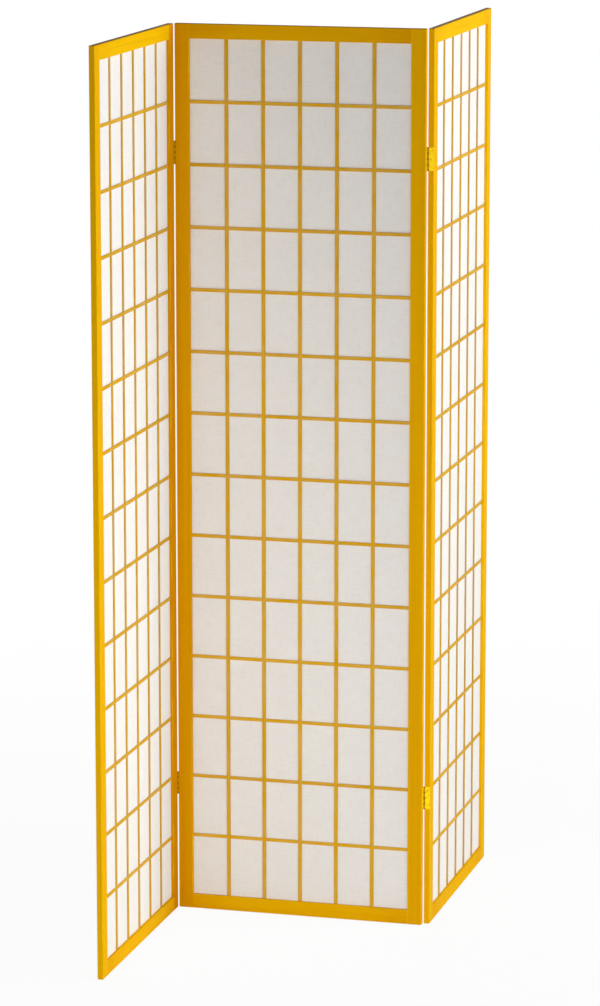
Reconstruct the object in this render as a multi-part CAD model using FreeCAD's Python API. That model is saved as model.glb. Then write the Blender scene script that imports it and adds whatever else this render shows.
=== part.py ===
# Three-panel shoji folding screen, standing in a Z fold.
#
# Each panel is a wooden frame that holds one sheet of paper between a front and a
# back lattice of thin slats. Butt hinges join the panels edge to edge: the left
# pair has its pins in front of the frames, the right pair has its pins behind them,
# so the screen stands as a zigzag and packs flat.
#
# X runs along the centre panel, to the right. Y runs through it, to the back.
# Z is up. The origin is on the floor, in the middle of the centre panel.

import FreeCAD
import Part

import os

# Driving dimensions, in millimetres and degrees.

# Frame of one panel
panel_height = 1780.0       # floor to the top edge
panel_width = 502.0         # over both stiles
frame_thickness = 11.5      # front face to back face
stile_width = 29.0          # upright members
top_rail_width = 29.0
bottom_rail_width = 29.0
edge_chamfer = 0.6          # eased outer edges

# Mortise and tenon at each corner
tenon_length = 20.0
tenon_thickness = 4.0
tenon_shoulder = 5.5        # rail left above and below its tenon
tenon_clearance = 0.1       # on each side of the tenon
mortise_spare = 0.4         # beyond the end of the tenon

# Paper
paper_thickness = 0.4
paper_tuck = 4.0            # held in the slot round the opening
slot_clearance = 0.1        # on each side of the paper
slot_spare = 0.5            # beyond the edge of the paper

# Lattice, the same in front of the paper and behind it
upright_count = 5
crossbar_count = 13
upright_width = 7.5
crossbar_width = 6.5
slat_thickness = 2.0
slat_chamfer = 0.3          # eased long edges, away from the paper
slat_tongue = 5.0           # end of a slat that is let into the frame
slat_clearance = 0.05       # on each side of a slat, in a lap or a pocket
pocket_spare = 0.3          # beyond the end of the slat

# Butt hinges, two at each joint of the screen
fold_angle = 90.0           # turn of each side panel from the flat, open screen
hinge_drop = 251.0          # top of the panel to the middle of the upper hinge
hinge_rise = 259.0          # floor to the middle of the lower hinge
hinge_height = 45.0
leaf_thickness = 1.0
leaf_gap = 0.4              # between the two leaves of a closed hinge
leaf_margin = 0.5           # free edge of the leaf to the far face of the frame
barrel_diameter = 4.0
barrel_clearance = 0.3      # cove in the stile, round the barrel
knuckle_count = 4           # of both leaves together, the uppermost on the centre panel's
knuckle_gap = 0.2           # between neighbouring knuckles
pin_diameter = 2.0
pin_clearance = 0.05        # on the radius, in the knuckles
pin_standoff = 0.6          # pin axis to the plane of the frame's face
pin_head_diameter = 3.0
pin_head_height = 0.5

# Countersunk wood screws in each leaf
screw_count = 3
screw_spacing = 15.0
screw_diameter = 2.4
screw_length = 14.0         # overall, head included
screw_point = 3.0           # tapered end
screw_head_diameter = 4.4
screw_slot_width = 0.6
screw_slot_depth = 0.45
screw_clearance = 0.05      # round the screw, in the wood and in the leaf
pilot_spare = 0.5           # beyond the point of the screw

# Worked out from the driving dimensions.

face_y = frame_thickness / 2
opening_x = panel_width / 2 - stile_width
opening_low = bottom_rail_width
opening_high = panel_height - top_rail_width
opening_width = 2 * opening_x
opening_height = opening_high - opening_low

paper_y = paper_thickness / 2
slat_y = paper_y + slat_thickness
lap_y = paper_y + slat_thickness / 2
slot_y = paper_y + slot_clearance
slot_depth = paper_tuck + slot_spare

hinge_gap = 2 * leaf_thickness + leaf_gap
pin_x = panel_width / 2 + hinge_gap / 2
pin_y = face_y + pin_standoff
barrel_radius = barrel_diameter / 2
pin_radius = pin_diameter / 2
hinge_centres = [hinge_rise, panel_height - hinge_drop]

screw_radius = screw_diameter / 2
screw_head_radius = screw_head_diameter / 2
screw_head_depth = screw_head_radius - screw_radius

LEFT = -1
RIGHT = 1
FRONT = -1
BACK = 1
ALONG_X = FreeCAD.Vector(1, 0, 0)
ALONG_Z = FreeCAD.Vector(0, 0, 1)


def block(x_range, y_range, z_range):
    """A box between two values along each axis, given in either order."""
    lows = [min(pair) for pair in (x_range, y_range, z_range)]
    sizes = [abs(pair[1] - pair[0]) for pair in (x_range, y_range, z_range)]
    return Part.makeBox(*sizes, FreeCAD.Vector(*lows))


def centres(count, low, high):
    """Middles of slats that share the space from low to high evenly."""
    pitch = (high - low) / (count + 1)
    return [low + pitch * (index + 1) for index in range(count)]


upright_xs = centres(upright_count, -opening_x, opening_x)
crossbar_zs = centres(crossbar_count, opening_low, opening_high)


# ---------------------------------------------------------------- frame

def ease_edges(solid, chamfer, wanted):
    """Chamfers the edges that the function wanted accepts, given an edge's middle and the edge."""
    edges = [edge for edge in solid.Edges if wanted(edge.CenterOfMass, edge)]
    return solid.makeChamfer(chamfer, edges)


def runs_along(edge, axis):
    """True where a straight edge is parallel to the axis."""
    start, end = edge.Vertexes[0].Point, edge.Vertexes[-1].Point
    return abs((end - start).normalize().dot(axis)) > 0.999


def mortise(side, low, high):
    """Hole in a stile for the tenon of a rail that lies between two heights."""
    mouth = opening_x
    bottom = opening_x + tenon_length + mortise_spare
    half = tenon_thickness / 2 + tenon_clearance
    z_range = (low + tenon_shoulder - tenon_clearance, high - tenon_shoulder + tenon_clearance)
    return block((side * mouth, side * bottom), (-half, half), z_range)


def crossbar_pockets(side):
    """Holes in a stile for the ends of the crossbars of both lattices."""
    inner = side * opening_x
    deep = side * (opening_x + slat_tongue + pocket_spare)
    half_y = slat_y + slat_clearance
    half_z = crossbar_width / 2 + slat_clearance
    return [block((inner, deep), (-half_y, half_y), (z - half_z, z + half_z)) for z in crossbar_zs]


def upright_pockets(edge_z, direction):
    """Holes in a rail for the ends of the uprights of both lattices."""
    deep = edge_z + direction * (slat_tongue + pocket_spare)
    half_y = slat_y + slat_clearance
    half_x = upright_width / 2 + slat_clearance
    return [block((x - half_x, x + half_x), (-half_y, half_y), (edge_z, deep)) for x in upright_xs]


def stile(side, pin_face):
    """Upright frame member. pin_face is FRONT or BACK where it carries hinges, else None."""
    outer = side * panel_width / 2
    body = block((side * opening_x, outer), (-face_y, face_y), (0, panel_height))

    def exposed(middle, edge):
        return abs(middle.x - outer) < 0.01 or runs_along(edge, ALONG_X)

    body = ease_edges(body, edge_chamfer, exposed)
    slot_ends = (opening_low - slot_depth, opening_high + slot_depth)
    slot_bottom = side * (opening_x + slot_depth)
    cuts = [block((side * opening_x, slot_bottom), (-slot_y, slot_y), slot_ends)]
    cuts.append(mortise(side, 0, opening_low))
    cuts.append(mortise(side, opening_high, panel_height))
    cuts.extend(crossbar_pockets(side))
    if pin_face is not None:
        cuts.extend(barrel_cove(side, pin_face, z) for z in hinge_centres)
        cuts.extend(pilot_hole(side, pin_face, z) for z in screw_heights())
    return body.cut(cuts)


def rail(low, high, inner_z):
    """Level frame member between two heights, with a tenon at each end."""
    into_rail = 1 if inner_z == low else -1
    outer_z = high if inner_z == low else low
    body = block((-opening_x, opening_x), (-face_y, face_y), (low, high))

    def exposed(middle, edge):
        return abs(middle.z - outer_z) < 0.01 and runs_along(edge, ALONG_X)

    body = ease_edges(body, edge_chamfer, exposed)
    tenon_end = opening_x + tenon_length
    half = tenon_thickness / 2
    tenon = block((-tenon_end, tenon_end), (-half, half), (low + tenon_shoulder, high - tenon_shoulder))
    slot = block((-opening_x, opening_x), (-slot_y, slot_y), (inner_z, inner_z + into_rail * slot_depth))
    return body.fuse(tenon).cut([slot] + upright_pockets(inner_z, into_rail)).removeSplitter()


# ---------------------------------------------------------------- paper and lattice

def paper():
    """The sheet, tucked into the slot on all four sides."""
    half = opening_x + paper_tuck
    return block((-half, half), (-paper_y, paper_y), (opening_low - paper_tuck, opening_high + paper_tuck))


def ease_slat(slat, face, axis):
    """Chamfers the two long edges of a slat that lie away from the paper."""
    outer = face * slat_y

    def exposed(middle, edge):
        return abs(middle.y - outer) < 0.01 and runs_along(edge, axis)

    return ease_edges(slat, slat_chamfer, exposed)


def upright(x, face):
    """Upright slat, notched on its paper side where it laps over the crossbars."""
    half = upright_width / 2
    z_range = (opening_low - slat_tongue, opening_high + slat_tongue)
    slat = block((x - half, x + half), (face * paper_y, face * slat_y), z_range)
    slat = ease_slat(slat, face, ALONG_Z)
    notch = crossbar_width / 2 + slat_clearance
    laps = [block((x - half, x + half), (face * paper_y, face * lap_y), (z - notch, z + notch)) for z in crossbar_zs]
    return slat.cut(laps)


def crossbar(z, face):
    """Level slat, notched on its outer side where the uprights lap over it."""
    half = crossbar_width / 2
    end = opening_x + slat_tongue
    slat = block((-end, end), (face * paper_y, face * slat_y), (z - half, z + half))
    slat = ease_slat(slat, face, ALONG_X)
    notch = upright_width / 2 + slat_clearance
    laps = [block((x - notch, x + notch), (face * lap_y, face * slat_y), (z - half, z + half)) for x in upright_xs]
    return slat.cut(laps)


# ---------------------------------------------------------------- hinges

def upright_cylinder(x, y, radius, low, high):
    """A cylinder along Z between two heights."""
    return Part.makeCylinder(radius, high - low, FreeCAD.Vector(x, y, low))


def barrel_cove(side, face, z):
    """Hollow along the stile's corner that lets the barrel turn."""
    reach = hinge_height / 2 + pin_head_height + barrel_clearance
    radius = barrel_radius + barrel_clearance
    return upright_cylinder(side * pin_x, face * pin_y, radius, z - reach, z + reach)


def knuckle_spans(z, owner):
    """Height ranges of the knuckles on one leaf, counted from the top: owner 0 has the first."""
    pitch = hinge_height / knuckle_count
    high = z + hinge_height / 2
    spans = []
    for index in range(owner, knuckle_count, 2):
        end = high - pitch * index
        start = end - pitch
        if index > 0:
            end -= knuckle_gap / 2
        if index < knuckle_count - 1:
            start += knuckle_gap / 2
        spans.append((start, end))
    return spans


def leaf(side, face, z, owner):
    """Hinge leaf screwed to the edge of a stile, with its knuckles round the pin."""
    edge = side * panel_width / 2
    plate_x = (edge, edge + side * leaf_thickness)
    far_y = -face * (face_y - leaf_margin)
    low = z - hinge_height / 2
    high = z + hinge_height / 2
    axis = (side * pin_x, face * pin_y)
    plate = block(plate_x, (face * pin_y, far_y), (low, high))
    plate = plate.cut(upright_cylinder(*axis, barrel_radius + knuckle_gap, low, high))
    for start, end in knuckle_spans(z, owner):
        plate = plate.fuse(upright_cylinder(*axis, barrel_radius, start, end))
        web = block(plate_x, (face * pin_y, face * (pin_y - barrel_radius - knuckle_gap)), (start, end))
        plate = plate.fuse(web)
    bore = upright_cylinder(*axis, pin_radius + pin_clearance, low, high)
    sinks = [screw_shape(side, face, height, screw_clearance) for height in leaf_screw_heights(z)]
    return plate.cut([bore] + sinks).removeSplitter()


def hinge_pin(side, face, z):
    """Pin with a small head at each end of the barrel."""
    low = z - hinge_height / 2
    high = z + hinge_height / 2
    axis = (side * pin_x, face * pin_y)
    head_radius = pin_head_diameter / 2
    pin = upright_cylinder(*axis, pin_radius, low, high)
    top = upright_cylinder(*axis, head_radius, high, high + pin_head_height)
    foot = upright_cylinder(*axis, head_radius, low - pin_head_height, low)
    return pin.fuse([top, foot]).removeSplitter()


# ---------------------------------------------------------------- screws

def leaf_screw_heights(z):
    """Heights of the screws in the leaf of a hinge centred at z."""
    first = z - screw_spacing * (screw_count - 1) / 2
    return [first + screw_spacing * index for index in range(screw_count)]


def screw_heights():
    """Heights of all the screws along one stile."""
    return [height for z in hinge_centres for height in leaf_screw_heights(z)]


def screw_axis(side, face):
    """Start of a screw's axis at the leaf's outer face, at height 0, and its direction."""
    middle_y = face * (pin_y - barrel_radius - knuckle_gap) / 2 - face * (face_y - leaf_margin) / 2
    start = FreeCAD.Vector(side * (panel_width / 2 + leaf_thickness), middle_y, 0)
    return start, FreeCAD.Vector(-side, 0, 0)


def screw_shape(side, face, z, spare):
    """Outline of a screw, grown by spare on its radius and past its point."""
    start, inward = screw_axis(side, face)
    start = start + FreeCAD.Vector(0, 0, z)
    head = Part.makeCone(screw_head_radius + spare, screw_radius + spare, screw_head_depth, start, inward)
    shank_start = start + inward * screw_head_depth
    shank_length = screw_length - screw_head_depth - screw_point
    shank = Part.makeCylinder(screw_radius + spare, shank_length, shank_start, inward)
    point_start = shank_start + inward * shank_length
    point = Part.makeCone(screw_radius + spare, spare, screw_point, point_start, inward)
    return head.fuse([shank, point]).removeSplitter()


def screw(side, face, z):
    """Slotted countersunk wood screw, flush with the leaf."""
    start, inward = screw_axis(side, face)
    half_slot = screw_slot_width / 2
    slot_floor = start.x + inward.x * screw_slot_depth
    slot_y = (start.y - screw_head_radius, start.y + screw_head_radius)
    slot = block((start.x, slot_floor), slot_y, (z - half_slot, z + half_slot))
    return screw_shape(side, face, z, 0).cut(slot)


def pilot_hole(side, face, z):
    """Hole in the stile for one screw."""
    start, inward = screw_axis(side, face)
    start = start + FreeCAD.Vector(0, 0, z)
    return Part.makeCylinder(screw_radius + screw_clearance, screw_length + pilot_spare, start, inward)


# ---------------------------------------------------------------- assembly

def stand(shape, side):
    """Moves a side panel's piece from the centre panel's place to its own, folded place."""
    if side:
        shape.translate(FreeCAD.Vector(side * (panel_width + hinge_gap), 0, 0))
        pin = FreeCAD.Vector(side * pin_x, side * pin_y, 0)
        shape.rotate(pin, FreeCAD.Vector(0, 0, 1), fold_angle)
    return shape


def panel_pieces(name, left_stile, right_stile, left_pins, right_pins):
    """The pieces of one panel, by node name, as lists of solids."""
    pieces = {
        f"{name}_{left_stile}": [stile(LEFT, left_pins)],
        f"{name}_{right_stile}": [stile(RIGHT, right_pins)],
        f"{name}_bottom_rail": [rail(0, opening_low, opening_low)],
        f"{name}_top_rail": [rail(opening_high, panel_height, opening_high)],
        f"{name}_paper": [paper()],
    }
    for number, x in enumerate(upright_xs, 1):
        pieces[f"{name}_front_upright_{number}"] = [upright(x, FRONT)]
    pieces[f"{name}_front_crossbars"] = [crossbar(z, FRONT) for z in crossbar_zs]
    pieces[f"{name}_back_uprights"] = [upright(x, BACK) for x in upright_xs]
    pieces[f"{name}_back_crossbars"] = [crossbar(z, BACK) for z in crossbar_zs]
    return pieces


def joint_pieces(name, side, face):
    """Leaves, pins and screws of one joint: those of the centre panel and of the side panel."""
    centre = {}
    outer = {}
    for level, z in zip(("lower", "upper"), hinge_centres):
        centre[f"{name}_{level}_hinge_centre_leaf"] = [leaf(side, face, z, 0)]
        centre[f"{name}_{level}_hinge_pin"] = [hinge_pin(side, face, z)]
        outer[f"{name}_{level}_hinge_side_leaf"] = [leaf(-side, face, z, 1)]
    centre[f"{name}_hinge_centre_screws"] = [screw(side, face, z) for z in screw_heights()]
    outer[f"{name}_hinge_side_screws"] = [screw(-side, face, z) for z in screw_heights()]
    return centre, outer


def screen():
    """All the nodes of the screen, each a list of solids in its place."""
    left_centre, left_side = joint_pieces("left", LEFT, FRONT)
    right_centre, right_side = joint_pieces("right", RIGHT, BACK)
    nodes = panel_pieces("centre", "left_stile", "right_stile", FRONT, BACK)
    nodes.update(left_centre)
    nodes.update(right_centre)
    left = panel_pieces("left", "outer_stile", "hinge_stile", None, FRONT)
    left.update(left_side)
    right = panel_pieces("right", "hinge_stile", "outer_stile", BACK, None)
    right.update(right_side)
    for side, pieces in ((LEFT, left), (RIGHT, right)):
        for name, solids in pieces.items():
            nodes[name] = [stand(solid, side) for solid in solids]
    return nodes


def write_nodes(nodes):
    """Writes each node to its own file and prints what it holds."""
    os.makedirs("parts", exist_ok=True)
    for name, shapes in nodes.items():
        solids = [solid for shape in shapes for solid in shape.Solids]
        whole = solids[0] if len(solids) == 1 else Part.makeCompound(solids)
        whole.exportStep(f"parts/{name}.step")
        volume = whole.Volume / 1000
        print(f"{name}: {len(solids)} solid(s), {volume:.2f} cm3, valid {whole.isValid()}")
    print(len(nodes), "nodes")


write_nodes(screen())
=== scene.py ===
# %% [markdown]
# # A shoji folding screen
#
# Three equal panels stand in a zigzag. Each is a thin wooden frame, stained honey yellow, that
# holds a sheet of white paper between a front and a back lattice of slats. Brass butt hinges
# join the panels edge to edge. The frames, slats, hinges and screws come from the packed model
# at their real size, so this script never moves them. It lays the paper in, gives every surface
# its finish, and sets up a small studio.

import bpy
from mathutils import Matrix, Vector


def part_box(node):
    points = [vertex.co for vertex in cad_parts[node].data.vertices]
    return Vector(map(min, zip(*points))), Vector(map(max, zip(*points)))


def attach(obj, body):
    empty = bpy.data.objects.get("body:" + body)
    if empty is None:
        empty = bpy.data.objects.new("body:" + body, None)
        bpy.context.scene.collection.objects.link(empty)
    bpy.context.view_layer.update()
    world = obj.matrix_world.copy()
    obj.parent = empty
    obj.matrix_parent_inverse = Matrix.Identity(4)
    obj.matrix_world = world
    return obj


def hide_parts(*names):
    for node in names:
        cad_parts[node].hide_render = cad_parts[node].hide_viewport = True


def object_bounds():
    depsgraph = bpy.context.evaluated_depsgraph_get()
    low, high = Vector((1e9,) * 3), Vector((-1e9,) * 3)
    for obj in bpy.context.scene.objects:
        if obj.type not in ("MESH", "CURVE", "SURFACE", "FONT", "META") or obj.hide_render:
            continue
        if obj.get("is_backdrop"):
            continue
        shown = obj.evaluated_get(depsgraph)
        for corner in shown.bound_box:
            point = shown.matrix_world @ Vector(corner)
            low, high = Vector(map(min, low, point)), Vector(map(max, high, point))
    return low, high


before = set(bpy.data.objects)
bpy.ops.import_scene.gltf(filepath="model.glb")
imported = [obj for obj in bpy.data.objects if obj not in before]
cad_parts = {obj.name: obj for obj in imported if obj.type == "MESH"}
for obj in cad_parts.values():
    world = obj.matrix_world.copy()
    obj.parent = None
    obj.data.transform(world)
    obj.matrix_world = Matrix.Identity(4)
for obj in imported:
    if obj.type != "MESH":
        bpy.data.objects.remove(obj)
cad_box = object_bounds()
print("screen:", *(f"{size * 1000:.0f} mm" for size in cad_box[1] - cad_box[0]))

# %% [markdown]
# ## The camera
#
# The screen is seen from its right and a little above, from far enough away that the uprights
# stay almost parallel. A long lens, eight and a half metres off, gives that. A near camera with
# a short lens would frame it as well, but the uprights would splay. The camera comes first,
# because everything that follows is judged through it.

# %% Camera
import math

import bpy

CAMERA_PLACE = (2.1233, -7.9461, 2.4813)
CAMERA_TILT = math.radians(11.265)       # below the horizon
CAMERA_TURN = math.radians(14.963)       # to the left of straight ahead
CAMERA_LENS = 152.47                     # millimetres, on a film 36 mm high
FILM_HEIGHT = 36

camera_data = bpy.data.cameras.new("camera")
camera_data.lens = CAMERA_LENS
camera_data.sensor_width = FILM_HEIGHT   # Blender fits this to the longer side of the picture
camera = bpy.data.objects.new("camera", camera_data)
camera.location = CAMERA_PLACE
camera.rotation_euler = (math.pi / 2 - CAMERA_TILT, 0, CAMERA_TURN)
bpy.context.scene.collection.objects.link(camera)
bpy.context.scene.camera = camera
print("camera is", round(math.dist(CAMERA_PLACE, (0, 0, 0)), 2), "m from the screen's foot")

# %% [markdown]
# ## Shader maths as plain arithmetic
#
# A finish is built from nodes, and its maths reads best as a formula. Here one small class wraps
# a node's output. Adding, subtracting or multiplying it makes the Math node, and `node` makes
# any other kind. Colours are mixed by a Mix node, because a Math node would turn them grey.

# %% A socket that can be calculated with
class Wire:
    """One output of a shader node. Arithmetic on it adds Math nodes to the same tree."""

    def __init__(self, tree, socket=None):
        self.tree = tree
        self.socket = socket

    def node(self, kind, settings=(), sockets=(), output=0):
        """Adds a node: its type, its settings, then values or links for its sockets."""
        made = self.tree.nodes.new("ShaderNode" + kind)
        for name, value in dict(settings).items():
            setattr(made, name, value)
        for name, value in dict(sockets).items():
            if isinstance(value, Wire):
                self.tree.links.new(value.socket, made.inputs[name])
            else:
                made.inputs[name].default_value = value
        return Wire(self.tree, made.outputs[output] if made.outputs else None)

    def out(self, name):
        """Another output of the node that this one comes from."""
        return Wire(self.tree, self.socket.node.outputs[name])

    def math(self, operation, *values):
        """A Math node on these values, each a number or a Wire."""
        return self.node("Math", {"operation": operation}, enumerate(values))

    def __add__(self, other):
        return self.math("ADD", self, other)

    def __sub__(self, other):
        return self.math("SUBTRACT", self, other)

    def __rsub__(self, other):
        return self.math("SUBTRACT", other, self)

    def __mul__(self, other):
        return self.math("MULTIPLY", self, other)

    def __abs__(self):
        return self.math("ABSOLUTE", self)

    __radd__ = __add__
    __rmul__ = __mul__

    def smooth(self, start, end):
        """0 below start, 1 above end, with a soft step between."""
        limits = {"Value": self, "From Min": start, "From Max": end}
        return self.node("MapRange", {"interpolation_type": "SMOOTHSTEP"}, limits)

    def mix(self, first, second):
        """The first colour where this is 0, the second where it is 1."""
        settings = {"data_type": "RGBA", "clamp_factor": True}
        return self.node("Mix", settings, {0: self, 6: first, 7: second}, output=2)


def rgb(red, green, blue):
    """A linear colour, as a socket wants it."""
    return (red, green, blue, 1.0)


print("Wire can:", ", ".join(name for name in vars(Wire) if not name.startswith("__")))

# %% [markdown]
# ## Starting and ending a material
#
# Every finish begins the same way: a new node tree, and the place of the point on the piece. The
# place is in metres and on the object's own axes, so a pattern stays on its piece when a panel
# folds. The three axes are handed over in the order along, across and through the piece, so that
# one recipe serves uprights and crossbars on every panel. Patterns are noise, squeezed to so many
# grains per metre on each axis, and the last node is a Principled shader.

# %% Material helpers
# which of x, y and z run along, across and through a piece, by the axis of its length
ORDERS = {"X": (0, 2, 1), "Y": (1, 2, 0), "Z": (2, 0, 1)}


def new_material(name):
    """An empty material and a Wire to build on."""
    material = bpy.data.materials.new(name)
    material.use_nodes = True
    material.node_tree.nodes.clear()
    return material, Wire(material.node_tree)


def place_on_piece(start, axis):
    """Coordinates along, across and through a piece whose length runs along an axis."""
    point = start.node("TexCoord", output=3)
    split = point.node("SeparateXYZ", sockets={0: point})
    return [split.out(index) for index in ORDERS[axis]]


def noise(place, grains, detail):
    """Noise with so many grains per metre on each of the place's three axes."""
    scaled = [part * number for part, number in zip(place, grains)]
    point = place[0].node("CombineXYZ", sockets=enumerate(scaled))
    return point.node("TexNoise", sockets={"Vector": point, "Scale": 1.0, "Detail": detail})


def finish(start, principled, height, strength, depth):
    """Ends a material: the Principled shader, bumped by a height, and the output."""
    bump = start.node("Bump", sockets={"Height": height, "Strength": strength, "Distance": depth})
    shader = start.node("BsdfPrincipled", sockets={**principled, "Normal": bump})
    start.node("OutputMaterial", sockets={"Surface": shader})


print("grain axes:", ", ".join(ORDERS))

# %% [markdown]
# ## Stained wood
#
# The screen is pale softwood under a honey stain and a thin, matt lacquer. Seen near, the stain
# shows the growth lines that run along each member, some broad drifts towards orange or yellow,
# and short pores. A wood picture would need unwrapping and would repeat on 108 slats, so noise
# that is stretched along the grain draws it. The growth lines wander, because their place is
# shifted by a slower noise. Frames and slats start from this grain and then differ.

# %% Grain and stain
WOOD_PALE = rgb(0.87, 0.50, 0.001)       # where the stain is thin
WOOD_DEEP = rgb(0.66, 0.28, 0.0008)      # where it is thick
WOOD_LATE = rgb(0.60, 0.26, 0.001)       # the darker growth lines
DRIFTS = (0.8, 28, 28)                   # grains per metre, along, across and through
DRIFT_DEPTH = 0.5                        # how far the stain's depth drifts
SWAYS = (2.5, 18, 18)
SWAY_WIDTH = 0.004
GROWTH_LINES = (1.6, 420, 420)
PORES = (90, 2600, 2600)
LATE_BAND = (0.5, 0.78)                  # a line darkens as its noise rises through these
LATE_SHARE = 0.4
PORE_BAND = (0.6, 0.8)
PORE_SHARE = 0.2
LACQUER_SHINE = 0.005
GRAIN_DEPTH = 0.0002


def wood_grain(start, axis):
    """The wood's pattern: where a point lies, and the drift, lines and pores there."""
    place = place_on_piece(start, axis)
    along, across, through = place
    sway = noise(place, SWAYS, detail=1.0) * SWAY_WIDTH
    lines = noise((along, across + sway, through + sway), GROWTH_LINES, detail=3.0)
    return {
        "place": place,
        "drift": noise(place, DRIFTS, detail=1.0),
        "lines": lines,
        "late": lines.smooth(*LATE_BAND),
        "pores": noise(place, PORES, detail=1.0),
    }


def stain_colour(grain, depth):
    """Pale or deep by the stain's depth, darker in late growth lines and in pores."""
    colour = depth.mix(WOOD_PALE, WOOD_DEEP)
    colour = (grain["late"] * LATE_SHARE).mix(colour, WOOD_LATE)
    return (grain["pores"].smooth(*PORE_BAND) * PORE_SHARE).mix(colour, WOOD_LATE)


def lacquer(start, grain, colour):
    """Ends a wood material with a matt lacquer that sinks into the grain."""
    principled = {
        "Base Color": colour,
        "Roughness": 0.46 + grain["pores"] * 0.08 - grain["late"] * 0.05,
        "Specular IOR Level": LACQUER_SHINE,
    }
    relief = grain["lines"] * 0.6 + grain["pores"] * 0.4
    finish(start, principled, relief, strength=0.35, depth=GRAIN_DEPTH)


print("growth lines are about", round(1000 / GROWTH_LINES[1], 1), "mm apart")

# %% [markdown]
# ## The frames
#
# Two stiles and two rails make a frame. Three things set their wood apart. Hands have rubbed the
# long edges paler, in patches. Faces that look up are painted dark brown as shade, and a thin
# band of painted shade runs just below the top of each frame. The ends of the rails are painted
# darker as the shade in the frame's corners. Each is a mask, worked out from how far a point lies
# from the faces of its member's own box, which needs no painting by hand. The members also differ
# from each other, as boards do, so each has its own depth of stain, and the stile at the left
# hinge is stained deepest as painted shade for its corner.

# %% What happens at a frame member's edges
WOOD_RUBBED = rgb(0.90, 0.55, 0.015)
WOOD_TOP_SHADE = rgb(0.19, 0.08, 0.001)     # painted shade on upper edges
RUB_PATCHES = (14, 90, 90)
RUB_BAND = (0.42, 0.66)
RUB_REACH = (0.0006, 0.0022)             # metres from the edge
RUB_SHARE = 0.55
TOP_SHADE_REACH = (0.002, 0.0004)             # metres below the top, where it starts and is full
TOP_SHADE_SHARE = 0.5
LOOKS_UP = (0.75, 0.95)                  # upward part of a face's normal
UPWARD_SHADE_SHARE = 0.95


def depths_inside(place, box, axis):
    """How far a point lies from the nearer side of its member's box, on each axis."""
    depths = []
    for part, index in zip(place, ORDERS[axis]):
        middle = (box[0][index] + box[1][index]) / 2
        half = (box[1][index] - box[0][index]) / 2
        depths.append(half - abs(part - middle))
    return depths


def rubbed(place, inside):
    """1 in patches along the long edges."""
    near_edge = 1 - (inside[1] + inside[2]).smooth(*RUB_REACH)
    return near_edge * noise(place, RUB_PATCHES, detail=2.0).smooth(*RUB_BAND)


def painted_top_shade(start, height, top):
    """Painted shade: nearly 1 on faces that look up, and about half of that just below the top.
    """
    normal = start.node("NewGeometry", output=1)
    split = start.node("SeparateXYZ", sockets={0: normal})
    below = height.smooth(top - TOP_SHADE_REACH[0], top - TOP_SHADE_REACH[1])
    return split.out(2).smooth(*LOOKS_UP) * UPWARD_SHADE_SHARE + below * TOP_SHADE_SHARE


# how far the painted shade reaches down from the tops
print("the stain has crept", TOP_SHADE_REACH[0] * 1000, "mm down from the tops")

# %% Frame finish
PANELS = {"centre": "X", "left": "Y", "right": "Y"}     # the axis that a panel runs along
STAIN_AND_SHADE = {                                # depth of stain, 0 to 1; left_hinge_stile's 1.0 is also painted shade for its corner
    "centre_left_stile": 0.72,
    "centre_right_stile": 0.52,
    "centre_top_rail": 0.42,
    "centre_bottom_rail": 0.34,
    "left_hinge_stile": 1.0,
    "left_outer_stile": 0.32,
    "left_top_rail": 0.0,
    "left_bottom_rail": 0.35,
    "right_hinge_stile": 0.3,
    "right_outer_stile": 0.2,
    "right_top_rail": 0.0,
    "right_bottom_rail": 0.25,
}
CORNER_SHADE = 0.24                       # painted shade of the frame's corners, as deeper stain at the ends of a rail
CORNER_SHADE_REACH = (0.02, 0.13)               # metres from the rail's end


def frame_wood(name, axis):
    """Stained wood for one frame member, with its worn and soaked edges."""
    material, start = new_material("stained_" + name)
    grain = wood_grain(start, axis)
    place = grain["place"]
    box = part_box(name)
    inside = depths_inside(place, box, axis)
    depth = grain["drift"] * DRIFT_DEPTH + (STAIN_AND_SHADE[name] - DRIFT_DEPTH / 2)
    # rail ends darken as painted shade of the frame's inner corners
    if name.endswith("rail"):
        depth = depth + (1 - inside[0].smooth(*CORNER_SHADE_REACH)) * CORNER_SHADE
    colour = stain_colour(grain, depth)
    colour = (rubbed(place, inside) * RUB_SHARE).mix(colour, WOOD_RUBBED)
    # painted shade on the tops of every member but the bottom rails
    if "bottom" not in name:
        height = place[ORDERS[axis].index(2)]
        colour = painted_top_shade(start, height, box[1].z).mix(colour, WOOD_TOP_SHADE)
    lacquer(start, grain, colour)
    return material


def dress(node, material):
    """Puts one material on a CAD node, in every slot it has."""
    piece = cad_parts[node]
    piece.data.materials.clear()
    piece.data.materials.append(material)


frame_members = [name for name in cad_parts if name.endswith(("stile", "rail"))]
for name in frame_members:
    axis = "Z" if name.endswith("stile") else PANELS[name.split("_")[0]]
    dress(name, frame_wood(name, axis))
print("frame members:", len(frame_members))

# %% [markdown]
# ## The slats
#
# The slats are ripped from the same wood, but their sawn faces drink more stain, so they came out
# browner than the frames. On the two side panels they are browner still, which is painted shade.
# The paper was pasted to them, and what was wiped off left a thin, pale film in smears. One
# recipe serves them all. Only the grain's direction and the amount of browning and painted shade
# change.

# %% Slat finish
# brown of the slats, which also serves as their painted shade
WOOD_BROWN_AND_SHADE = rgb(0.28, 0.21, 0.0008)
PASTE_FILM = rgb(0.80, 0.70, 0.52)       # rice paste, wiped thin
PASTE_SMEARS = (30, 260, 260)
SMEAR_BAND = (0.3, 0.7)
SMEAR_SHARE = 0.12
SLAT_STAIN = 0.42
BROWNING_DRIFTS = 0.2                    # how far the browning drifts
# the side panels' higher values are painted shade on their slats
UPRIGHT_BROWNING_AND_SHADE = {"centre": 0.2, "left": 0.44, "right": 0.47}
CROSSBAR_BROWNING_AND_SHADE = {"centre": 0.17, "left": 0.28, "right": 0.24}


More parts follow.
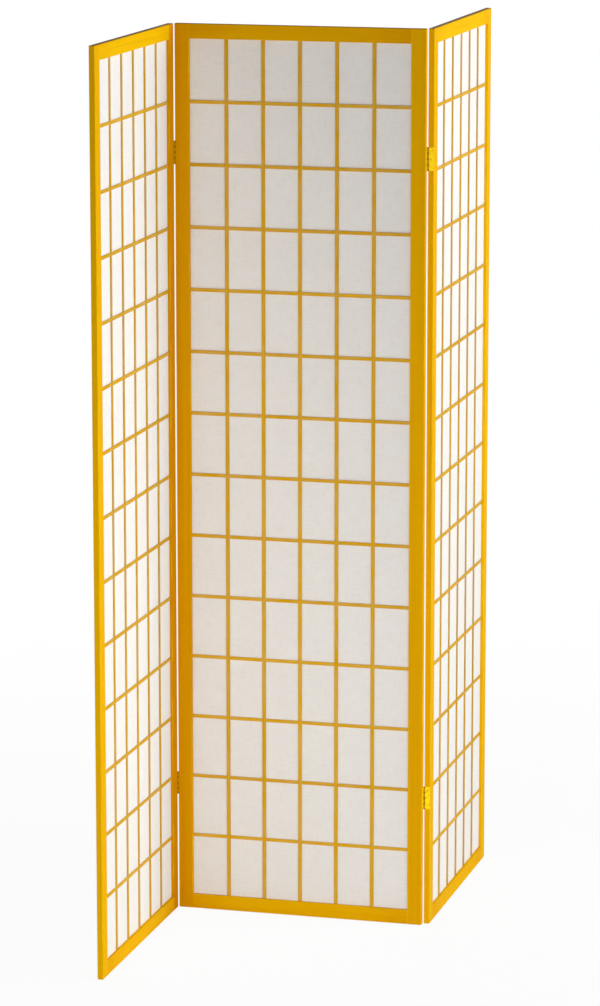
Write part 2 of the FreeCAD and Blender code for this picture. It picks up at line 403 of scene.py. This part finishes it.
def slat_wood(name, axis, browning_and_shade):
    """Stained, browned and paste-smeared wood for the slats, with painted shade in the browning.
    """
    material, start = new_material(name)
    grain = wood_grain(start, axis)
    depth = grain["drift"] * DRIFT_DEPTH + (SLAT_STAIN - DRIFT_DEPTH / 2)
    colour = stain_colour(grain, depth)
    browned_and_shaded = grain["drift"] * BROWNING_DRIFTS + (browning_and_shade - BROWNING_DRIFTS / 2)
    colour = browned_and_shaded.mix(colour, WOOD_BROWN_AND_SHADE)
    smears = noise(grain["place"], PASTE_SMEARS, detail=2.0).smooth(*SMEAR_BAND)
    colour = (smears * SMEAR_SHARE).mix(colour, PASTE_FILM)
    lacquer(start, grain, colour)
    return material


for panel, axis in PANELS.items():
    finishes = {
        "upright": slat_wood(f"{panel}_upright_slats", "Z", UPRIGHT_BROWNING_AND_SHADE[panel]),
        "crossbar": slat_wood(f"{panel}_level_slats", axis, CROSSBAR_BROWNING_AND_SHADE[panel]),
    }
    for kind, material in finishes.items():
        slats = [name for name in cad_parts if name.startswith(panel) and kind in name]
        for name in slats:
            dress(name, material)
        print(panel, kind, "nodes:", len(slats))

# %% [markdown]
# ## Brass hinges
#
# The hinges are pressed brass sheet: flat leaves with fine brushing along their length, barrels
# rolled round a pin, and slotted screws. Metal takes its colour from what it reflects, so it is
# fully metallic with a yellow tint. The brushing is noise stretched along the leaf, which
# changes only the roughness and a very shallow bump. The barrels are painted darker as shade,
# and darkest in the seams between their knuckles. Both are masks again: the distance from the
# pin's axis, and the height within the leaf, which the knuckles share out evenly.

# %% Brass recipe
BRASS = rgb(0.86, 0.63, 0.012)
BRASS_DULL = rgb(0.64, 0.42, 0.008)
# painted shade on the barrels, and darker painted shade in the knuckle seams
BRASS_BARREL_SHADE = rgb(0.46, 0.24, 0.004)
BRASS_SEAM_SHADE = rgb(0.10, 0.05, 0.001)
BRUSHING = (40, 5200, 5200)
TARNISH = (160, 160, 160)
BARREL_REACH = (0.0021, 0.0028)          # metres from the pin's axis, where the painted shade ends
TARNISH_BAND = (0.62, 0.86)
KNUCKLES = 4
SEAM_REACH = (0.28, 0.44)                # shares of a knuckle, from its middle to its end
SEAM_SHADE_SHARE = 0.85


def on_barrel(start, pin):
    """1 on a hinge's barrel, 0 on its leaves. pin is the box of the hinge's pin."""
    axis = (pin[0] + pin[1]) / 2
    point = start.node("TexCoord", output=3)
    level = start.node("VectorMath", {"operation": "MULTIPLY"}, {0: point, 1: (1, 1, 0)})
    ends = {0: level, 1: (axis.x, axis.y, 0)}
    reach = start.node("VectorMath", {"operation": "DISTANCE"}, ends, output=1)
    return 1 - reach.smooth(*BARREL_REACH)


def in_seams(height, leaf):
    """1 at the seams between the knuckles. leaf is the box of one of the hinge's leaves."""
    low, high = leaf[0].z, leaf[1].z
    turns = (height - low) * (KNUCKLES / (high - low))
    return abs(turns.math("FRACT", turns) - 0.5).smooth(*SEAM_REACH)


def brass(name, dullness, hinge=None):
    """Brushed yellow brass. dullness is how much of it has tarnished.

    hinge is the name of the hinge that the piece belongs to, if it has part of the barrel. The
    barrel then gets painted shade, darkest in the seams between its knuckles."""
    material, start = new_material(name)
    place = place_on_piece(start, "Z")
    brushing = noise(place, BRUSHING, detail=2.0)
    band = [edge - dullness for edge in TARNISH_BAND]
    tarnish = noise(place, TARNISH, detail=3.0).smooth(*band)
    colour = tarnish.mix(BRASS, BRASS_DULL)
    if hinge is not None:
        barrel = on_barrel(start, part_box(hinge + "_pin"))
        seams = in_seams(place[0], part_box(hinge + "_centre_leaf"))
        # painted shade on the barrel, darkest in the seams between the knuckles
        colour = barrel.mix(colour, BRASS_BARREL_SHADE)
        colour = (barrel * seams * SEAM_SHADE_SHARE).mix(colour, BRASS_SEAM_SHADE)
    principled = {
        "Base Color": colour,
        "Metallic": 1.0,
        "Roughness": 0.3 + brushing * 0.16 + tarnish * 0.12,
    }
    finish(start, principled, brushing, strength=0.25, depth=0.00008)
    return material


print("brushing lines are", round(1000 / BRUSHING[1], 2), "mm apart")

# %% Dress the hinges
pins = [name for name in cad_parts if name.endswith("_pin")]
screws = [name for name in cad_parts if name.endswith("_screws")]
for hinge in [pin.removesuffix("_pin") for pin in pins]:
    leaf_brass = brass(f"{hinge}_brass", 0.15, hinge)
    dress(f"{hinge}_centre_leaf", leaf_brass)
    dress(f"{hinge}_side_leaf", leaf_brass)
pin_brass = brass("worn_pin_brass", 0.35)
for name in pins:
    dress(name, pin_brass)
screw_brass = brass("screw_brass", 0.25)
for name in screws:
    dress(name, screw_brass)
print("hinges:", len(pins), "sets of screws:", len(screws))

# %% [markdown]
# ## The paper
#
# Shoji paper is a thin felt of long plant fibres. It is pasted to the slats while damp and dries
# taut, so it lies flat under every slat and bulges by a hair's breadth in each cell. The sheet
# starts as one plane. Cuts mark the edges of the slats, where it is held, and the quarters of
# each cell, where it is free. Cloth simulation would do the same at far greater cost, because
# nothing here sags.

# %% Where the slats hold the paper
SLAT_SPACE = 0.02                        # two level slats are at least this far apart
LEVEL_INDEX = {"X": 0, "Y": 1}


def upright_spans(panel):
    """Left and right edges of a panel's front uprights, from the middle of its paper."""
    index = LEVEL_INDEX[PANELS[panel]]
    low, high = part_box(f"{panel}_paper")
    middle = (low[index] + high[index]) / 2
    names = [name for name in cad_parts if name.startswith(f"{panel}_front_upright")]
    return sorted(tuple(corner[index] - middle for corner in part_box(name)) for name in names)


def crossbar_spans(panel):
    """Low and high edges of a panel's front crossbars, which share one node."""
    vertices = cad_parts[f"{panel}_front_crossbars"].data.vertices
    heights = sorted({round(vertex.co.z, 5) for vertex in vertices})
    spans = [[heights[0], heights[0]]]
    for height in heights[1:]:
        if height - spans[-1][1] > SLAT_SPACE:
            spans.append([height, height])
        spans[-1][1] = height
    return spans


print("uprights:", len(upright_spans("centre")), "crossbars:", len(crossbar_spans("centre")))

# %% Cutting and puckering
import bmesh

PUCKER = 0.0005                          # the most that a cell bulges
CELL_CUTS = (0.25, 0.5, 0.75)
CELL_MARGIN = 0.002                      # stays flat along the slats


def cell_lines(spans, low, high):
    """The cells between the slats, and where a sheet is cut: at their edges and within."""
    edges = [low] + [edge for span in spans for edge in span] + [high]
    cells = list(zip(edges[0::2], edges[1::2]))
    inner = [start + (end - start) * cut for start, end in cells for cut in CELL_CUTS]
    return cells, sorted(edges[1:-1] + inner)


def cut_sheet(lines, normal):
    """Cuts the sheet in edit mode, square to a normal, at distances along it."""
    for line in lines:
        bpy.ops.mesh.select_all(action="SELECT")
        bpy.ops.mesh.bisect(plane_co=[part * line for part in normal], plane_no=normal)


def pucker_cell(sheet, column, row, bulge):
    """Pushes the free middle of one cell of the sheet out by a hair's breadth."""
    mesh = bmesh.from_edit_mesh(sheet.data)
    bpy.ops.mesh.select_all(action="DESELECT")
    for vertex in mesh.verts:
        inside_x = column[0] + CELL_MARGIN < vertex.co.x < column[1] - CELL_MARGIN
        inside_z = row[0] + CELL_MARGIN < vertex.co.z < row[1] - CELL_MARGIN
        vertex.select_set(inside_x and inside_z)
    mesh.select_flush(True)
    bmesh.update_edit_mesh(sheet.data)
    bpy.ops.transform.translate(value=(0, bulge, 0))


print("a sheet is held along", 2 * len(crossbar_spans("centre")), "level edges")

# %% Make the three sheets
import random


def paper_sheet(panel, seed):
    """A sheet as large as the CAD's plain one, upright at the origin, and its flat size."""
    low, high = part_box(f"{panel}_paper")
    index = LEVEL_INDEX[PANELS[panel]]
    width, height = high[index] - low[index], high.z - low.z
    columns, upright_lines = cell_lines(upright_spans(panel), -width / 2, width / 2)
    rows, level_lines = cell_lines(crossbar_spans(panel), low.z, high.z)
    bpy.ops.object.select_all(action="DESELECT")
    place = (0, 0, (low.z + high.z) / 2)
    bpy.ops.mesh.primitive_plane_add(size=1, location=place, rotation=(math.pi / 2, 0, 0))
    sheet = bpy.context.object
    sheet.name = f"{panel}_paper_sheet"
    sheet.scale = (width, height, 1)
    bpy.ops.object.transform_apply(location=True, rotation=True, scale=True)
    bpy.ops.object.mode_set(mode="EDIT")
    cut_sheet(upright_lines, (1, 0, 0))
    cut_sheet(level_lines, (0, 0, 1))
    draw = random.Random(seed)
    for column in columns:
        for row in rows:
            pucker_cell(sheet, column, row, draw.uniform(-PUCKER, PUCKER))
    bpy.ops.object.mode_set(mode="OBJECT")
    return sheet, (width, height)


sheets = {}
for seed, panel in enumerate(PANELS):
    sheets[panel] = paper_sheet(panel, seed)
    print(panel, "sheet:", len(sheets[panel][0].data.vertices), "vertices")

# %% Give the sheets body and lay them in
PAPER_THICKNESS = 0.0004


def thicken(sheet):
    """Rounds the puckers and gives the sheet its thickness."""
    smoothing = sheet.modifiers.new("soft puckers", "SUBSURF")
    smoothing.levels = smoothing.render_levels = 1
    smoothing.boundary_smooth = "PRESERVE_CORNERS"
    body = sheet.modifiers.new("paper thickness", "SOLIDIFY")
    body.thickness = PAPER_THICKNESS
    body.offset = 0
    for modifier in (smoothing, body):
        bpy.ops.object.modifier_apply(modifier=modifier.name)
    bpy.ops.object.shade_smooth_by_angle(angle=math.radians(30))


for panel, (sheet, flat) in sheets.items():
    bpy.ops.object.select_all(action="DESELECT")
    bpy.context.view_layer.objects.active = sheet
    sheet.select_set(True)
    thicken(sheet)
    low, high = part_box(f"{panel}_paper")
    sheet.rotation_euler = (0, 0, 0 if PANELS[panel] == "X" else math.pi / 2)
    sheet.location = ((low.x + high.x) / 2, (low.y + high.y) / 2, 0)
    bpy.ops.object.transform_apply(location=True, rotation=True, scale=True)
    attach(sheet, f"{panel}_panel")
    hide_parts(f"{panel}_paper")
    print(sheet.name, "is", " x ".join(f"{size * 1000:.0f}" for size in flat), "mm,",
          len(sheet.data.polygons), "faces")

# %% [markdown]
# ## Paper finish
#
# The paper is a warm white that lets some light through. Long fibres cross in it at all angles,
# and the mould it was drawn on leaves a faint weave. Both are stretched noise: a level set, an
# upright set and two slanting ones. A Translucent shader mixed in lets light from behind glow
# through, which a plain Principled shader would block.

# %% Paper material
PAPER_WHITE = rgb(0.93, 0.915, 0.895)
PAPER_FIBRE = rgb(0.83, 0.805, 0.775)
PAPER_GLOW = rgb(0.90, 0.86, 0.80)
TRANSLUCENT_SHARE = 0.10
WEAVE = ((40, 480, 0), (480, 40, 0))     # grains per metre over the width and the height
WEAVE_BAND = (0.45, 0.75)
FIBRES = ((50, 620, 0), (620, 50, 0))    # the same along two slanting directions
FIBRE_BAND = (0.58, 0.75)
CLOUDS = (16, 16, 0)


def strands(place, both_ways, band):
    """Thin streaks that cross: noise stretched one way and then the other."""
    first, second = (noise(place, grains, detail=2.0) for grains in both_ways)
    return first.smooth(*band) + second.smooth(*band)


def paper(name, axis):
    """Fibrous shoji paper on a sheet whose width runs along an axis."""
    material, start = new_material(name)
    width, height, depth = place_on_piece(start, axis)
    weave = strands((width, height, depth), WEAVE, WEAVE_BAND)
    fibres = strands((width + height, width - height, depth), FIBRES, FIBRE_BAND)
    clouds = noise((width, height, depth), CLOUDS, detail=3.0)
    shade = weave * 0.42 + fibres * 0.3 + clouds * 0.16
    relief = {"Height": weave + fibres, "Strength": 0.3, "Distance": 0.0002}
    front = start.node("BsdfPrincipled", sockets={
        "Base Color": shade.mix(PAPER_WHITE, PAPER_FIBRE),
        "Roughness": 0.82,
        "Specular IOR Level": 0.15,
        "Normal": start.node("Bump", sockets=relief),
    })
    through = start.node("BsdfTranslucent", sockets={"Color": PAPER_GLOW})
    both = start.node("MixShader", sockets={0: TRANSLUCENT_SHARE, 1: front, 2: through})
    start.node("OutputMaterial", sockets={"Surface": both})
    return material


paper_finishes = {axis: paper(f"fibrous_paper_{axis.lower()}", axis) for axis in LEVEL_INDEX}
for panel, (sheet, flat) in sheets.items():
    sheet.data.materials.clear()
    sheet.data.materials.append(paper_finishes[PANELS[panel]])
print("paper finishes:", len(paper_finishes))

# %% [markdown]
# ## The studio
#
# A white floor runs out to the horizon, and the world behind it is white too. To the camera, and
# in reflections, floor and world are drawn at a strength near 1, so the ground is white without
# any more light on the screen. To every other ray the floor is plain pale paint, which throws
# light back up at the frames. Near the screen the camera sees a little of that paint as well,
# so the floor keeps the screen's shadow.

# %% Floor
PLAIN_WHITE = rgb(1, 1, 1)
FLOOR_PAINT = rgb(0.86, 0.86, 0.86)
FLOOR_REACH = 60.0
FLOOR_LEVEL = -0.0003                    # a hair below the panels' feet
FLOOR_SHOWN_WHITE = 0.94                 # share of plain white that the camera sees near by
FAR_FLOOR = (0.8, 3.0)                   # metres out, where that share rises to all of it


def seen_directly(start):
    """1 for camera, mirror and glass rays, 0 for the light that falls on surfaces."""
    paths = start.node("LightPath")
    kinds = paths.out("Is Camera Ray") + paths.out("Is Glossy Ray")
    kinds = kinds + paths.out("Is Transmission Ray")
    return kinds.math("MINIMUM", kinds, 1.0) * (1 - paths.out("Is Diffuse Ray"))


bpy.ops.object.select_all(action="DESELECT")
bpy.ops.mesh.primitive_plane_add(size=2 * FLOOR_REACH, location=(0, 0, FLOOR_LEVEL))
floor = bpy.context.object
floor.name = "floor"
pale_floor, start = new_material("pale_floor")
painted = start.node("BsdfDiffuse", sockets={"Color": FLOOR_PAINT})
white = start.node("Emission", sockets={"Color": PLAIN_WHITE, "Strength": 1.0})
point = start.node("TexCoord", output=3)
far = start.node("VectorMath", {"operation": "LENGTH"}, {0: point}, output=1).smooth(*FAR_FLOOR)
share = seen_directly(start) * (FLOOR_SHOWN_WHITE + far * (1 - FLOOR_SHOWN_WHITE))
shown = start.node("MixShader", sockets={0: share, 1: painted, 2: white})
start.node("OutputMaterial", sockets={"Surface": shown})
floor.data.materials.append(pale_floor)
floor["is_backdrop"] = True
print("floor is", 2 * FLOOR_REACH, "m wide")

# %% World
LIGHT_LOW = rgb(0.92, 0.915, 0.91)       # from the horizon
LIGHT_HIGH = rgb(0.16, 0.16, 0.16)       # from overhead
LIGHT_FADES = (0.0, 0.6)                 # sine of the height above the horizon

world = bpy.data.worlds.new("studio")
bpy.context.scene.world = world
world.use_nodes = True
world.node_tree.nodes.clear()
start = Wire(world.node_tree)
direction = start.node("TexCoord", output=0)
split = start.node("SeparateXYZ", sockets={0: direction})
light = split.out(2).smooth(*LIGHT_FADES).mix(LIGHT_LOW, LIGHT_HIGH)
seen = seen_directly(start).mix(light, PLAIN_WHITE)
background = start.node("Background", sockets={"Color": seen, "Strength": 1.0})
start.node("OutputWorld", sockets={"Surface": background})
print("world is", world.name)

# %% [markdown]
# ## Lamps
#
# One large soft box stands high on the right, where the light of the side panels comes from. A
# low one in front lifts the foot of the centre panel, and two broad ones behind and on the left
# light the backs, so that the screen looks right from all sides. Area lamps give soft shadows.
# A sun would draw every slat's edge on the paper.

# %% Soft boxes
SOFT_BOXES = {                           # place, point it faces, size in metres, watts
    "right box": ((4.0, 0.45, 2.7), (0, 0, 1.2), (2.6, 2.6), 122),
    "front low box": ((0.9, -2.0, 0.2), (0, 0, 0.6), (1.6, 0.4), 17),
    "back box": ((-2.0, 5.0, 1.6), (0, 0, 0.9), (4.0, 2.4), 68),
    "left box": ((-5.0, 1.5, 1.4), (0, 0, 0.9), (4.0, 2.4), 52),
}


def soft_box(name, place, aim, size, watts):
    """A rectangular lamp that faces a point."""
    data = bpy.data.lights.new(name, "AREA")
    data.shape = "RECTANGLE"
    data.size, data.size_y = size
    data.energy = watts
    lamp = bpy.data.objects.new(name, data)
    lamp.location = place
    right, ahead, up = (end - start for start, end in zip(place, aim))
    tilt = math.pi / 2 + math.atan2(up, math.hypot(right, ahead))
    lamp.rotation_euler = (tilt, 0, -math.atan2(right, ahead))
    bpy.context.scene.collection.objects.link(lamp)
    lamp.visible_camera = False


for name, settings in SOFT_BOXES.items():
    soft_box(name, *settings)
bpy.context.scene.view_settings.view_transform = "Standard"
print("lamps:", len(SOFT_BOXES))

# %% [markdown] ## Sizes The dressed screen's box is printed beside the packed model's.

bpy.context.view_layer.update()
boxes = {"cad": cad_box, "visual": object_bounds()}
for name, (low, high) in boxes.items():
    print(name, "box:", " x ".join(f"{edge * 1000:.1f}" for edge in high - low), "mm")
